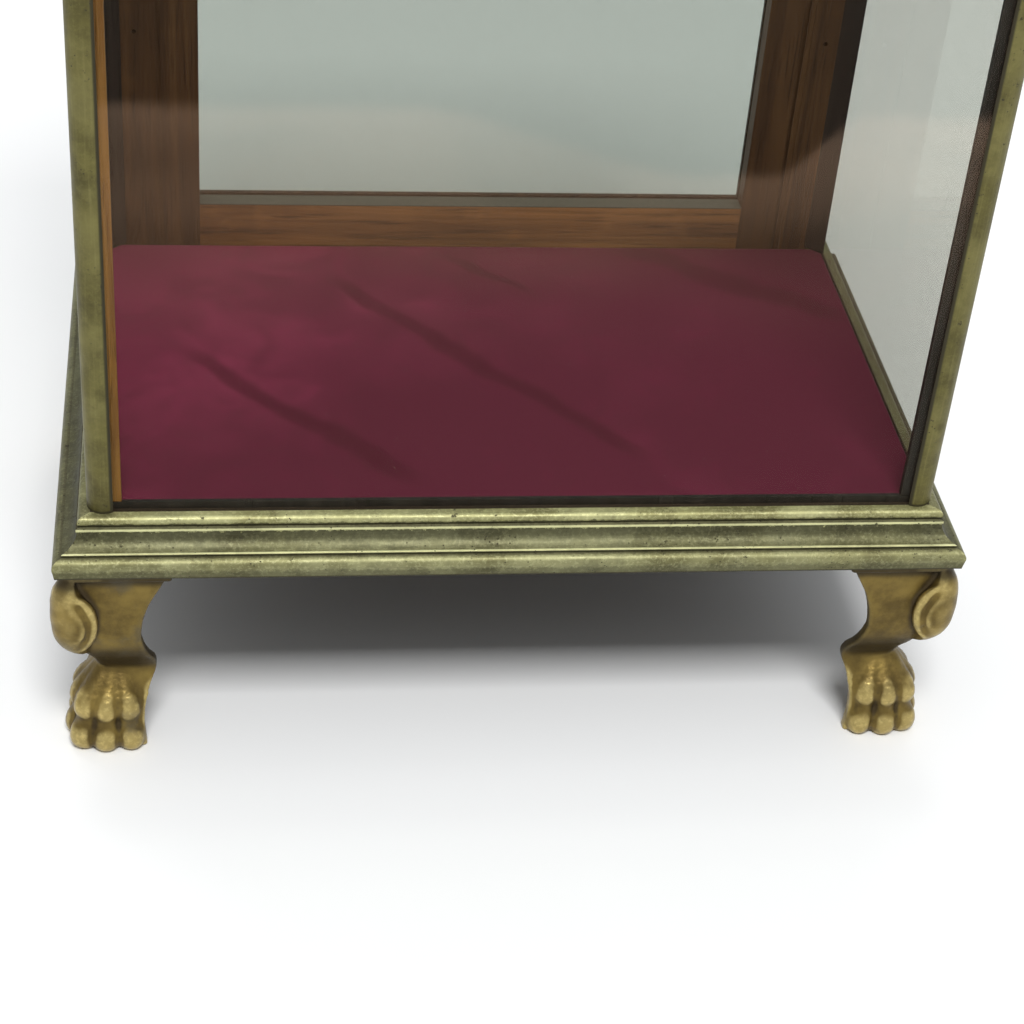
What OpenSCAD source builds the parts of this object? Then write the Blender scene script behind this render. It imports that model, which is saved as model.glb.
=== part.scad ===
// Glazed counter-top display cabinet: brass-clad base and cornice, round-nosed
// brass corner posts, clear panes, a timber glazed door at the back, a velvet
// floor and four cast lion-paw feet.
// Millimetres, +Z up. Origin: on the ground, under the middle of the case.
// The front faces -Y and the door is at +Y.

/* [Case] */
// Width over the base moulding
case_w = 450; // [380:5:600]
// Depth over the base moulding
case_d = 296; // [240:4:400]
// Clear height between the base and the cornice
glazed_h = 440; // [300:10:700]
// Height of the cast feet
foot_h = 114; // [80:2:150]

/* [Base moulding] */
// Height of the base moulding
base_h = 27.5; // [25:0.5:40]
// How far the base moulding stands out from the outside of the panes
base_reach = 18.2; // [17:0.2:26]
// Height of the rounded bottom member of the base moulding
base_torus_h = 10.4; // [8:0.2:12]
// Radius of the hollow in the base moulding
base_cove_r = 8.6; // [7:0.2:8.8]

/* [Cornice] */
// Height of the cornice
cornice_h = 24; // [22:0.5:34]
// How far the cornice stands out from the outside of the panes
cornice_reach = 14; // [13:0.5:20]
// Height of the rounded top member of the cornice
cornice_torus_h = 8.4; // [7:0.2:10]
// Radius of the hollow in the cornice
cornice_cove_r = 6.4; // [5:0.2:6.8]
// Thickness of the brass in both mouldings
moulding_wall = 2.4; // [1.6:0.2:3]

/* [Corner posts] */
// Face width of a corner post
post_w = 12.7; // [10:0.1:16]
// Radius of a post's round nose
post_r = 8.3; // [8:0.1:10]
// How far a post's face stands out from the outside of the panes
post_proud = 1.7; // [1:0.1:2]
// How far a pane's edge runs in behind a post's face
pane_cover = 4.7; // [3:0.1:6]

/* [Glass] */
// Thickness of the side, front and door panes
pane_t = 2.5; // [2:0.1:4]
// Thickness of the top pane
top_pane_t = 4; // [3:0.2:6]
// Play left round the edge of a pane
pane_play = 0.5; // [0.3:0.1:1]

/* [Timber frame] */
// Width of the rails under the floor
base_rail_w = 40; // [32:1:60]
// Thickness of the floor panel
floor_t = 6; // [4:0.5:10]
// Thickness of the timber in the back frame and the door
timber_t = 16; // [12:0.5:20]
// Width of the fixed stiles at the back
rear_stile_w = 16.3; // [14:0.5:24]
// Height of the fixed rail over the door
rear_head_h = 18; // [14:1:30]
// Depth of the stop that the door's top closes on
door_stop_h = 6; // [4:0.5:9]
// Width of the timber rails that carry the top pane
top_rail_w = 16; // [12:1:24]
// Height of the shelf's peg holes above the base
peg_z = 160; // [60:5:300]
// Radius of a peg hole
peg_r = 1.2; // [1:0.1:3]
// Depth of a peg hole
peg_l = 8; // [5:0.5:12]

/* [Door] */
// Width of the door stiles
door_stile_w = 24.7; // [20:0.1:34]
// Height of the door's bottom rail
door_bottom_h = 28.5; // [22:0.5:45]
// Height of the door's top rail
door_top_h = 26; // [22:0.5:45]
// Gap all round the door
door_gap = 0.8; // [0.5:0.1:1.5]
// Width of the shadow rebate round the inside of the door
door_rebate_w = 4.7; // [2:0.1:6]
// Depth of that rebate
door_rebate_d = 3; // [1:0.2:5]
// How far the door pane is set back from the inside face
door_pane_back = 10.5; // [6:0.5:11]
// How far the door pane laps behind its rails
door_pane_lap = 6; // [4:0.5:9]

/* [Hinges and catch] */
// Height of a hinge
hinge_h = 38; // [30:1:60]
// Width of one hinge leaf
hinge_leaf_w = 13; // [11:0.5:15]
// Thickness of a hinge leaf
hinge_leaf_t = 1.5; // [1.2:0.1:2]
// Radius of a hinge knuckle
knuckle_r = 2.6; // [2.3:0.1:3.2]
// Radius of a hinge pin
hinge_pin_r = 1.25; // [1:0.05:1.5]
// Distance of the hinges from the door's ends
hinge_end = 55; // [45:1:90]
// Radial clearance of a turning pin
pin_clearance = 0.05; // [0.03:0.01:0.09]
// Radius of the catch's spindle
spindle_r = 2.5; // [2:0.1:3.5]
// Length of the catch's tongue from the spindle
tongue_l = 22; // [18:0.5:26]
// Radius of the catch's knob
knob_r = 7.5; // [6:0.5:10]
// Distance of the catch from the door's edge
catch_in = 12.5; // [11:0.5:14]

/* [Linings] */
// Thickness of the glazing strips
strip_t = 3.2; // [2:0.1:5]
// Width of a corner strip along each pane
corner_strip_w = 12.5; // [8:0.5:18]
// Thickness of the strip along the front of the floor
sill_strip_t = 2; // [1.5:0.1:4]
// Width of the bevelled strips in the back corners
back_strip_w = 9.5; // [7:0.5:12]
// Depth of the bevelled strips in the back corners
back_strip_d = 11; // [8:0.5:16]
// Height of the strips along the top of the panes
head_strip_h = 8; // [5:0.5:12]
// Thickness of the loose floor board
board_t = 3; // [2:0.5:8]
// Thickness of the velvet with its interlining
velvet_t = 1; // [0.8:0.1:2]

/* [Feet] */
// Radius of the stud that holds a foot
stud_r = 4; // [3:0.5:6]
// Length of the stud inside the base rail
stud_l = 14; // [8:1:18]

/* [Hidden] */

$fn = 64;
EPS = 0.01;
SEAT_GAP = 0.3;               // clearance of a loose or soft piece from its seat

BRASS = "#8f8c58";
GILT = "#8a6a30";
TIMBER = "#4a3421";
WARM_TIMBER = "#96703c";
EBONISED = "#232320";
VELVET = "#7a3347";
CLEAR = [0.75, 0.82, 0.8, 0.25];

// Levels
base_z = foot_h;                             // underside of the base
deck_z = base_z + base_h;                    // top of the base, where everything stands
cornice_z = deck_z + glazed_h;               // underside of the cornice
top_z = cornice_z + cornice_h;
velvet_z = deck_z + board_t + velvet_t;

// Insets from the outermost edge of the base moulding
pane_in = base_reach;                        // outside of the panes
lining_in = pane_in + pane_t;                // inside of the panes
post_in = pane_in - post_proud;              // face of a post
post_end = post_in + post_w;                 // inner edge of a post
post_c = post_in + post_r;                   // centre of its round nose
pane_edge = post_end - pane_cover;           // edge of a pane behind a post

// Back frame, measured from the back of the base moulding
timber_back = post_in - 0.5;                 // outside face
timber_in = timber_back + timber_t;          // inside face
timber_y = case_d / 2 - timber_in;
back_y = case_d / 2 - timber_back;
stile_x = case_w / 2 - post_end - rear_stile_w;   // inner edge of the fixed stiles

// Door
door_x = stile_x - door_gap;                 // half width of the door
door_z0 = deck_z + door_gap + 0.2;
door_z1 = cornice_z - rear_head_h - door_gap;
door_h = door_z1 - door_z0;
opening_x = door_x - door_stile_w;           // half width of the door's sight size
opening_z0 = door_z0 + door_bottom_h;
opening_z1 = door_z1 - door_top_h;
hinge_x = -stile_x + door_gap / 2;
hinge_y = back_y + knuckle_r + 0.15;
hinge_zs = [door_z0 + hinge_end, door_z1 - hinge_end];
catch_x = door_x - catch_in;
catch_z = (door_z0 + door_z1) / 2;
screw_r = 1.1;
screw_head_r = 2;
screw_l = 9;
screw_out = 0.62;                            // screws' place across a leaf, as a share of its width
screw_spread = 0.3;                          // and along it, as a share of its height
knuckle_gap = 0.2;

// Feet: stud position from the corner, along both sides
stud_in = 29;

// ---------------------------------------------------------------- helpers

// Puts a corner's drawing, made with +X and +Y pointing inward from the
// front left corner of the base, at the corner given by two signs.
module at_corner(side, end) {
    translate([side * case_w / 2, end * case_d / 2, 0])
        mirror([side > 0 ? 1 : 0, 0, 0])
            mirror([0, end > 0 ? 1 : 0, 0])
                children();
}

// A box from its lowest to its highest corner
module block(lo, hi) {
    translate(lo) cube(hi - lo);
}

// Section of a moulding: X is the distance outward from the panes, Y is the
// height from the broad end. Torus, quirk, cove, fillet and bead in turn.
module moulding_section(h, reach, torus_h, cove_r) {
    nose_r = 4;
    quirk = 0.6;
    lip = 4.6;
    fillet_h = 1.6;
    bead_r = 2.5;
    bead_in = 12.2 - (base_reach - reach);
    cove_top = h - 2 * bead_r - 0.5 - fillet_h;
    fillet_in = bead_in - 0.7;
    difference() {
        union() {
            // torus
            polygon([[0, 0], [reach - 1, 0], [reach, torus_h - nose_r], [0, torus_h - nose_r]]);
            translate([reach - nose_r, torus_h - nose_r]) circle(nose_r);
            square([reach - nose_r, torus_h]);
            // quirk
            square([reach - lip - 1.2, torus_h + quirk + EPS]);
            // cove
            difference() {
                translate([0, torus_h + quirk]) square([reach - lip, cove_top - torus_h - quirk]);
                translate([reach - fillet_in - 0.4 + cove_r, cove_top]) circle(cove_r);
            }
            // fillet
            translate([0, cove_top - EPS]) square([reach - fillet_in, fillet_h + EPS]);
            // groove and bead
            square([reach - bead_in - 1.2, h - bead_r]);
            translate([0, h - 2 * bead_r]) square([reach - bead_in - bead_r, 2 * bead_r]);
            translate([reach - bead_in - bead_r, h - bead_r]) circle(bead_r);
        }
        // hollow behind the brass
        translate([-EPS, moulding_wall])
            square([reach - nose_r + EPS, torus_h - 2 * moulding_wall]);
        translate([-EPS, torus_h - moulding_wall - EPS])
            square([reach - bead_in - 1.2 - moulding_wall + EPS + 1, h - torus_h - bead_r]);
    }
}

// One mitred length of a moulding along X, outward to -Y, with its back on y = 0
module mitred_run(length, reach, h) {
    intersection() {
        rotate([90, 0, -90]) linear_extrude(length, center = true) children();
        linear_extrude(h)
            polygon([[-length / 2, -reach], [length / 2, -reach],
                     [length / 2 - reach, 0], [-length / 2 + reach, 0]]);
    }
}

// The four places of a moulding or rail: "front", "back", "left" or "right"
module on_side(place) {
    if (place == "front") translate([0, -case_d / 2 + pane_in, 0]) children();
    if (place == "back") translate([0, case_d / 2 - pane_in, 0]) rotate(180) children();
    if (place == "left") translate([-case_w / 2 + pane_in, 0, 0]) rotate(-90) children();
    if (place == "right") translate([case_w / 2 - pane_in, 0, 0]) rotate(90) children();
}
function side_length(place) = (place == "front" || place == "back") ? case_w : case_d;

// ---------------------------------------------------------------- base

module base_moulding(place) color(BRASS)
    translate([0, 0, base_z]) on_side(place)
        mitred_run(side_length(place), base_reach, base_h)
            moulding_section(base_h, base_reach, base_torus_h, base_cove_r);

// Long rails run the full width, short rails stand between them
module base_rail(place) color(TIMBER) {
    long = place == "front" || place == "back";
    half = side_length(place) / 2 - pane_in - (long ? 0 : base_rail_w);
    difference() {
        translate([0, 0, base_z]) on_side(place)
            block([-half, 0, 0], [half, base_rail_w, base_h - floor_t]);
        if (long) for (side = [-1, 1]) at_corner(side, place == "front" ? -1 : 1)
            translate([stud_in, stud_in, base_z - 1]) cylinder(r = stud_r, h = stud_l + 1);
    }
}

module floor_panel() color(TIMBER)
    block([-case_w / 2 + pane_in, -case_d / 2 + pane_in, deck_z - floor_t],
          [case_w / 2 - pane_in, case_d / 2 - pane_in, deck_z]);

board_x = case_w / 2 - lining_in - SEAT_GAP;
board_y0 = -case_d / 2 + lining_in + sill_strip_t + SEAT_GAP;
board_y1 = timber_y - SEAT_GAP;

module floor_board() color(WARM_TIMBER)
    block([-board_x + velvet_t, board_y0 + velvet_t, deck_z],
          [board_x - velvet_t, board_y1 - velvet_t, deck_z + board_t]);

// The velvet is stretched over the board and turned down round its edges
module velvet_cover() color(VELVET) difference() {
    block([-board_x, board_y0, deck_z], [board_x, board_y1, velvet_z]);
    block([-board_x + velvet_t, board_y0 + velvet_t, deck_z - 1],
          [board_x - velvet_t, board_y1 - velvet_t, deck_z + board_t]);
}

// ---------------------------------------------------------------- feet

drawn_foot_h = 114;                          // height at which the foot is drawn

// Key sections of the leg from the ground up, as insets from the base's two
// sides: [z, face, radius of the outer corner, inner edge, thickness there,
// inside corner]
leg_keys = [
    [0, 11, 10, 42.5, 5.5, 30],              // sole
    [18, 11.5, 11, 41.5, 5.5, 30],           // knuckles
    [33, 15, 10, 44, 5.5, 30],               // ankle
    [43, 17, 9, 47.8, 6, 30],                // hock
    [51, 14.5, 9, 47.5, 6, 28],
    [58, 10.5, 9, 44.5, 6, 26],
    [67, 7, 9, 41.8, 6, 24],
    [77, 5.6, 9, 41.3, 6, 22],               // throat
    [92, 5.6, 9, 45, 6, 22],
    [110.5, 5.6, 9, 55, 6, 22]
];
LEG_STEPS = 2;                               // sections made for each key
plate_key = [110, 2.5, 9, 56.8, 8, 40];      // flange that the stud stands on

// Value at fraction t between b and c, on a smooth curve through a, b, c and d
function smooth(a, b, c, d, t) =
    b + t / 2 * (c - a + t * (2 * a - 5 * b + 4 * c - d + t * (3 * (b - c) + d - a)));

function key(i) = leg_keys[min(max(i, 0), len(leg_keys) - 1)];
function leg_section(i, t) = smooth(key(i - 1), key(i), key(i + 1), key(i + 2), t);

// Half of a section from its outer corner to its inner edge
function half_outline(s) = let (face = s[1], r = s[2], inner = s[3], edge = s[4], flat = face + r)
    concat([for (a = [45 : -15 : 0]) [flat - r * sin(a), flat - r * cos(a)]],
           [for (k = [0.35, 0.7]) [flat + (inner - flat) * k, face]],
           [[inner - 1.2, face], [inner, face + 1.2], [inner, face + edge]]);

// A section is the same on both sides of the corner's diagonal
function outline(s) = let (half = half_outline(s), last = len(half) - 1)
    concat(half, [[s[5], s[5]]], [for (k = [last : -1 : 1]) [half[k][1], half[k][0]]]);

leg_sections = concat(
    [for (i = [0 : len(leg_keys) - 2], k = [0 : LEG_STEPS - 1]) leg_section(i, k / LEG_STEPS)],
    [key(len(leg_keys) - 1)]);

// Closed skin over a stack of rings that all have the same number of points
module loft(rings) {
    n = len(rings[0]);
    last = len(rings) - 1;
    polyhedron(
        points = [for (ring = rings) each ring],
        faces = concat(
            [[for (k = [0 : n - 1]) k]],
            [for (i = [0 : last - 1]) for (k = [0 : n - 1])
                [i * n + k, (i + 1) * n + k, (i + 1) * n + (k + 1) % n, i * n + (k + 1) % n]],
            [[for (k = [n - 1 : -1 : 0]) last * n + k]]));
}

module leg() {
    loft([for (s = leg_sections) [for (p = outline(s)) [p[0], p[1], s[0]]]]);
    translate([0, 0, plate_key[0]])
        linear_extrude(drawn_foot_h - plate_key[0]) polygon(outline(plate_key));
}

// Five toes fan out from the ankle, one on the corner and two along each face.
// Each has a tip on the ground, a waist, a knuckle and a tendon.
toe_places = [[10.8, 10.8], [21.8, 8], [34.2, 9.2], [8, 21.8], [9.2, 34.2]];
ankle_place = [27, 27];
toe_keys = [                                 // [z, share of the way to the ankle, radius]
    [0, 0.02, 5.6], [3, -0.03, 6.5], [7, -0.04, 6.9], [11, 0, 6.6], [14.5, 0.1, 6],
    [18, 0.16, 6], [22, 0.14, 6.8], [26, 0.18, 7], [31, 0.3, 6.8], [37, 0.5, 6.2],
    [43, 0.72, 5.2], [48, 0.9, 4]
];
TOE_SIDES = 10;

module toe(place) loft([for (t = toe_keys)
    let (middle = place + (ankle_place - place) * t[1])
        [for (k = [0 : TOE_SIDES - 1])
            let (a = 360 * k / TOE_SIDES)
            [middle[0] + t[2] * cos(a), middle[1] + t[2] * sin(a), t[0]]]]);

// Knee: a swelling on the corner with a scroll round it on each face
knee_keys = [                                // [z, face, radius of its corner, inner edge]
    [60, 13, 3, 18.5], [63, 6.4, 6.5, 19.6], [68, 1.6, 8.5, 20.4], [75, -1.4, 10, 21.4],
    [84, -2.6, 11, 22], [93, -2.6, 11, 22], [101, -1.6, 10.5, 21.5], [106.5, 0.6, 9, 20.5],
    [111.2, 4, 8, 19.5]
];
// [share of the way to the inner edge, share of the depth behind the face]
knee_shoulder = [[0.25, 0], [0.6, 0.075], [0.88, 0.2], [1, 0.37]];
function half_knee(s) = let (face = s[1], r = s[2], inner = s[3], flat = face + r)
    concat([for (a = [45 : -15 : 0]) [flat - r * sin(a), flat - r * cos(a)]],
           [for (p = knee_shoulder) [flat + (inner - flat) * p[0], face + (inner - face) * p[1]]]);
function knee_outline(s) = let (half = half_knee(s), last = len(half) - 1)
    concat(half, [for (k = [last : -1 : 1]) [half[k][1], half[k][0]]]);

scroll_at = [6.5, -0.9, 85];
scroll_lean = 15;                            // towards the leg's face
scroll_r = 16.2;
scroll_rise = 1.12;                          // height over width
scroll_bead_r = 2.5;
scroll_ends = [-60, 92];
SCROLL_STEPS = 12;
SCROLL_SIDES = 8;
function scroll_point(angle) = scroll_r * [cos(angle), 0, scroll_rise * sin(angle)];

module scroll() {
    loft([for (i = [0 : SCROLL_STEPS])
        let (a = scroll_ends[0] + (scroll_ends[1] - scroll_ends[0]) * i / SCROLL_STEPS)
        [for (k = [0 : SCROLL_SIDES - 1])
            let (b = 360 * k / SCROLL_SIDES)
            scroll_point(a) + scroll_bead_r * [cos(b) * cos(a), sin(b), cos(b) * sin(a)]]]);
    for (angle = scroll_ends) translate(scroll_point(angle)) sphere(scroll_bead_r + 0.4, $fn = 10);
}

module knee() {
    loft([for (s = knee_keys) [for (p = knee_outline(s)) [p[0], p[1], s[0]]]]);
    for (across = [0, 1]) mirror(across * [1, -1, 0])
        translate(scroll_at) rotate(scroll_lean) scroll();
}

// The whole foot, drawn at drawn_foot_h and brought to foot_h
module foot(side, end) color(GILT)
    at_corner(side, end) resize([0, 0, foot_h]) {
        leg();
        knee();
        for (place = toe_places) toe(place);
    }

module foot_studs() color(BRASS)
    for (side = [-1, 1], end = [-1, 1]) at_corner(side, end)
        translate([stud_in, stud_in, base_z]) cylinder(r = stud_r, h = stud_l);

// ---------------------------------------------------------------- posts

module post_section(is_back) {
    difference() {
        intersection() {
            translate([post_c, post_c]) circle(post_r);
            translate([post_in, post_in]) square(post_w);
        }
        // side pane
        translate([pane_in, pane_edge - pane_play]) square([pane_t, post_w]);
        if (!is_back) {
            translate([pane_edge - pane_play, pane_in]) square([post_w, pane_t]);
            translate([lining_in, lining_in]) square(post_w);
        }
    }
}

module post(side, end) color(BRASS)
    translate([0, 0, deck_z]) at_corner(side, end)
        linear_extrude(glazed_h) post_section(end > 0);

// Angle strip that holds the front and side panes behind a front post
module corner_strip(side, tint) color(tint)
    at_corner(side, -1) translate([lining_in, lining_in, velvet_z + SEAT_GAP])
        linear_extrude(cornice_z - velvet_z - SEAT_GAP) difference() {
            square(corner_strip_w);
            translate([strip_t, strip_t]) square(corner_strip_w);
        }

// Bevelled strip that holds a side pane against the timber at the back
module back_strip(side) color(EBONISED)
    at_corner(side, 1) translate([lining_in, post_end, velvet_z + SEAT_GAP])
        linear_extrude(cornice_z - velvet_z - SEAT_GAP)
            polygon([[0, 0], [post_end - lining_in, 0],
                     [post_end - lining_in, timber_in - post_end],
                     [back_strip_w, timber_in - post_end],
                     [0, back_strip_d]]);

module sill_strip() color(EBONISED)
    block([-case_w / 2 + lining_in + SEAT_GAP, -case_d / 2 + lining_in, deck_z],
          [case_w / 2 - lining_in - SEAT_GAP, -case_d / 2 + lining_in + sill_strip_t, velvet_z]);

// Strips under the cornice, between the corner strips
module head_strips() color(EBONISED) {
    head_x = case_w / 2 - lining_in;
    head_y = -case_d / 2 + lining_in;
    block([-head_x + corner_strip_w, head_y, cornice_z - head_strip_h],
          [head_x - corner_strip_w, head_y + strip_t, cornice_z]);
    for (side = [-1, 1]) {
        x0 = side > 0 ? head_x - strip_t : -head_x;
        block([x0, head_y + corner_strip_w, cornice_z - head_strip_h],
              [x0 + strip_t, case_d / 2 - post_end - back_strip_d, cornice_z]);
    }
}

// ---------------------------------------------------------------- glass

module pane_front() color(CLEAR)
    block([-case_w / 2 + pane_edge, -case_d / 2 + pane_in, deck_z],
          [case_w / 2 - pane_edge, -case_d / 2 + lining_in, cornice_z]);

module pane_side(side) color(CLEAR)
    at_corner(side, -1)
        block([pane_in, pane_edge, deck_z], [lining_in, case_d - pane_edge, cornice_z]);

module pane_top() color(CLEAR)
    block([-case_w / 2 + pane_in + pane_play, -case_d / 2 + pane_in + pane_play, top_z - top_pane_t],
          [case_w / 2 - pane_in - pane_play, case_d / 2 - pane_in - pane_play, top_z]);

// ---------------------------------------------------------------- cornice

module cornice(place) color(BRASS)
    translate([0, 0, top_z]) on_side(place)
        mirror([0, 0, 1])
            mitred_run(side_length(place) - 2 * (base_reach - cornice_reach), cornice_reach, cornice_h)
                moulding_section(cornice_h, cornice_reach, cornice_torus_h, cornice_cove_r);

// Timber inside the cornice, carrying the top pane
module top_rail(place) color(TIMBER) {
    long = place == "front" || place == "back";
    half = side_length(place) / 2 - pane_in - (long ? 0 : top_rail_w);
    translate([0, 0, cornice_z]) on_side(place)
        block([-half, 0, 0], [half, top_rail_w, cornice_h - top_pane_t]);
}

// ---------------------------------------------------------------- back frame

module rear_stile(side) color(TIMBER) {
    difference() {
        at_corner(side, 1)
            block([post_end, timber_back, deck_z], [post_end + rear_stile_w, timber_in, cornice_z]);
        // peg hole for a shelf
        translate([side * (stile_x + rear_stile_w / 2), timber_y - 1, base_z + peg_z])
            rotate([-90, 0, 0]) cylinder(r = peg_r, h = peg_l + 1);
        if (side < 0) screw_holes(-1);
    }
    // lip in the door's rebate, so that no light shows past the door
    mirror([side < 0 ? 1 : 0, 0, 0])
        block([door_x - door_rebate_w / 2, timber_y + door_rebate_d / 4, deck_z],
              [stile_x + EPS, timber_y + door_rebate_d * 0.7, cornice_z - rear_head_h - door_gap]);
}

module rear_head() color(TIMBER) {
    block([-stile_x, timber_y, cornice_z - rear_head_h], [stile_x, back_y, cornice_z]);
    block([-stile_x, timber_y - door_stop_h, cornice_z - rear_head_h - door_stop_h],
          [stile_x, timber_y - SEAT_GAP, cornice_z]);
    block([-stile_x, timber_y - SEAT_GAP - EPS, cornice_z - rear_head_h + EPS],
          [stile_x, timber_y + EPS, cornice_z]);
}

// ---------------------------------------------------------------- door

// Rebate cut in the outer inside edge of the door, at one of its sides
module edge_rebate(side) {
    x0 = side > 0 ? door_x - door_rebate_w : -door_x - 1;
    block([x0, timber_y - 1, door_z0 - 1], [x0 + door_rebate_w + 1, timber_y + door_rebate_d, door_z1 + 1]);
}

// Space for the door's pane and the beads behind it
pane_x = opening_x + door_pane_lap;
pane_z0 = opening_z0 - door_pane_lap;
pane_z1 = opening_z1 + door_pane_lap;
pane_y = timber_y + door_pane_back;
module pane_rebate() block([-pane_x, pane_y, pane_z0], [pane_x, back_y + 1, pane_z1]);

module door_stile(side) color(TIMBER) difference() {
    x0 = side > 0 ? opening_x : -door_x;
    block([x0, timber_y, door_z0], [x0 + door_stile_w, back_y, door_z1]);
    edge_rebate(side);
    pane_rebate();
    if (side < 0) screw_holes(1);
    if (side > 0) translate([catch_x, timber_y - 1, catch_z]) rotate([-90, 0, 0])
        cylinder(r = spindle_r + pin_clearance, h = timber_t + 2);
}

module door_rail(z0, h) color(TIMBER) difference() {
    block([-opening_x, timber_y, z0], [opening_x, back_y, z0 + h]);
    pane_rebate();
}

module door_pane() color(CLEAR)
    block([-pane_x + pane_play, pane_y, pane_z0 + pane_play],
          [pane_x - pane_play, pane_y + pane_t, pane_z1 - pane_play]);

module door_beads() color(TIMBER) {
    y0 = pane_y + pane_t;
    w = door_pane_lap;
    block([-pane_x, y0, pane_z0], [pane_x, back_y, pane_z0 + w]);
    block([-pane_x, y0, pane_z1 - w], [pane_x, back_y, pane_z1]);
    for (x0 = [-pane_x, pane_x - w])
        block([x0, y0, pane_z0 + w], [x0 + w, back_y, pane_z1 - w]);
}

// ---------------------------------------------------------------- hinges

// dir is -1 towards the fixed stile and 1 towards the door
function screw_x(dir) = hinge_x + dir * hinge_leaf_w * screw_out;
module at_screws(dir) for (z = hinge_zs, dz = [-1, 1])
    translate([screw_x(dir), back_y, z + dz * hinge_h * screw_spread]) rotate([-90, 0, 0]) children();

module screw_holes(dir) at_screws(dir) translate([0, 0, -screw_l]) cylinder(r = screw_r, h = screw_l + 1);

module hinge_leaf(dir) {
    k = hinge_h / 3;
    for (z = hinge_zs) difference() {
        union() {
            // plate clear of the other leaf's knuckles
            x0 = hinge_x + dir * (knuckle_r + knuckle_gap);
            block([min(x0, hinge_x + dir * hinge_leaf_w), back_y, z - hinge_h / 2],
                  [max(x0, hinge_x + dir * hinge_leaf_w), back_y + hinge_leaf_t, z + hinge_h / 2]);
            for (i = dir < 0 ? [0, 2] : [1]) {
                z0 = z - hinge_h / 2 + i * k + (i > 0 ? knuckle_gap / 2 : 0);
                len = k - (i == 1 ? knuckle_gap : knuckle_gap / 2);
                translate([hinge_x, hinge_y, z0]) cylinder(r = knuckle_r, h = len);
                block([min(hinge_x, x0 + dir), back_y, z0],
                      [max(hinge_x, x0 + dir), back_y + hinge_leaf_t, z0 + len]);
            }
        }
        translate([hinge_x, hinge_y, z - hinge_h])
            cylinder(r = hinge_pin_r + (dir > 0 ? pin_clearance : 0), h = 2 * hinge_h);
        at_screws(dir) translate([0, 0, -1]) cylinder(r = screw_r, h = hinge_leaf_t + 2);
    }
}

module hinge_pins() color(BRASS) for (z = hinge_zs)
    translate([hinge_x, hinge_y, z - hinge_h / 2]) {
        cylinder(r = hinge_pin_r, h = hinge_h);
        for (z1 = [-1, hinge_h]) translate([0, 0, z1]) cylinder(r = knuckle_r * 0.8, h = 1);
    }

module hinge_screws(dir) color(BRASS) at_screws(dir) {
    translate([0, 0, -screw_l]) cylinder(r = screw_r, h = screw_l + hinge_leaf_t);
    translate([0, 0, hinge_leaf_t]) cylinder(r1 = screw_head_r, r2 = screw_r, h = 0.8);
}

// ---------------------------------------------------------------- catch

rose_t = 1.5;
tongue_t = 2;
tongue_gap = 0.6;
tongue_y = timber_y - tongue_gap - tongue_t;
module at_catch() translate([catch_x, 0, catch_z]) children();

module catch_rose() color(BRASS) at_catch() translate([0, back_y, 0]) rotate([-90, 0, 0])
    difference() {
        cylinder(r1 = knob_r + 2.5, r2 = knob_r + 1.5, h = rose_t);
        translate([0, 0, -1]) cylinder(r = spindle_r + pin_clearance, h = rose_t + 2);
    }

// Spindle, collar and an oval grip that stands upright when the catch is free
module catch_knob() color(BRASS) at_catch() {
    translate([0, tongue_y, 0]) rotate([-90, 0, 0])
        cylinder(r = spindle_r, h = back_y + rose_t + 3 - tongue_y);
    translate([0, back_y + rose_t + 0.2, 0]) rotate([-90, 0, 0])
        rotate_extrude() polygon([[0, 0], [4.5, 0], [4.5, 1], [3, 2.5], [3, 4], [0, 4]]);
    translate([0, back_y + rose_t + 4.2, 0]) rotate([-90, 0, 0]) intersection() {
        rotate_extrude() polygon([[0, -0.6], [3, -0.6], [knob_r, 2], [knob_r, 4.4], [knob_r - 1.6, 6], [0, 6]]);
        cube([6.4, 2 * knob_r + 2, 20], center = true);
    }
}

module catch_tongue() color(BRASS) at_catch() translate([0, tongue_y, 0]) rotate([-90, 0, 0])
    difference() {
        union() {
            cylinder(r = spindle_r + 3, h = tongue_t);
            translate([-4, -tongue_l + 4, 0]) cube([8, tongue_l - 4, tongue_t]);
            translate([0, -tongue_l + 4, 0]) cylinder(r = 4, h = tongue_t);
        }
        translate([0, 0, -1]) cylinder(r = spindle_r, h = tongue_t + 2);
    }

// ---------------------------------------------------------------- nodes

base_rail("front");  // base_rail_front
base_rail("back");  // base_rail_back
base_rail("left");  // base_rail_left
base_rail("right");  // base_rail_right
floor_panel();
base_moulding("front");  // base_moulding_front
base_moulding("back");  // base_moulding_back
base_moulding("left");  // base_moulding_left
base_moulding("right");  // base_moulding_right
floor_board();
velvet_cover();
foot(-1, -1);  // foot_front_left
foot(1, -1);  // foot_front_right
foot(-1, 1);  // foot_back_left
foot(1, 1);  // foot_back_right
foot_studs();
post(-1, -1);  // post_front_left
post(1, -1);  // post_front_right
post(-1, 1);  // post_back_left
post(1, 1);  // post_back_right
corner_strip(-1, WARM_TIMBER);  // corner_strip_left
corner_strip(1, EBONISED);  // corner_strip_right
back_strip(-1);  // back_strip_left
back_strip(1);  // back_strip_right
sill_strip();
head_strips();
pane_front();
pane_side(-1);  // pane_left
pane_side(1);  // pane_right
pane_top();
top_rail("front");  // top_rail_front
top_rail("back");  // top_rail_back
top_rail("left");  // top_rail_left
top_rail("right");  // top_rail_right
cornice("front");  // cornice_front
cornice("back");  // cornice_back
cornice("left");  // cornice_left
cornice("right");  // cornice_right
rear_stile(-1);  // rear_stile_left
rear_stile(1);  // rear_stile_right
rear_head();
door_stile(-1);  // door_stile_hinge
door_stile(1);  // door_stile_catch
door_rail(door_z0, door_bottom_h);  // door_rail_bottom
door_rail(opening_z1, door_top_h);  // door_rail_top
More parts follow.
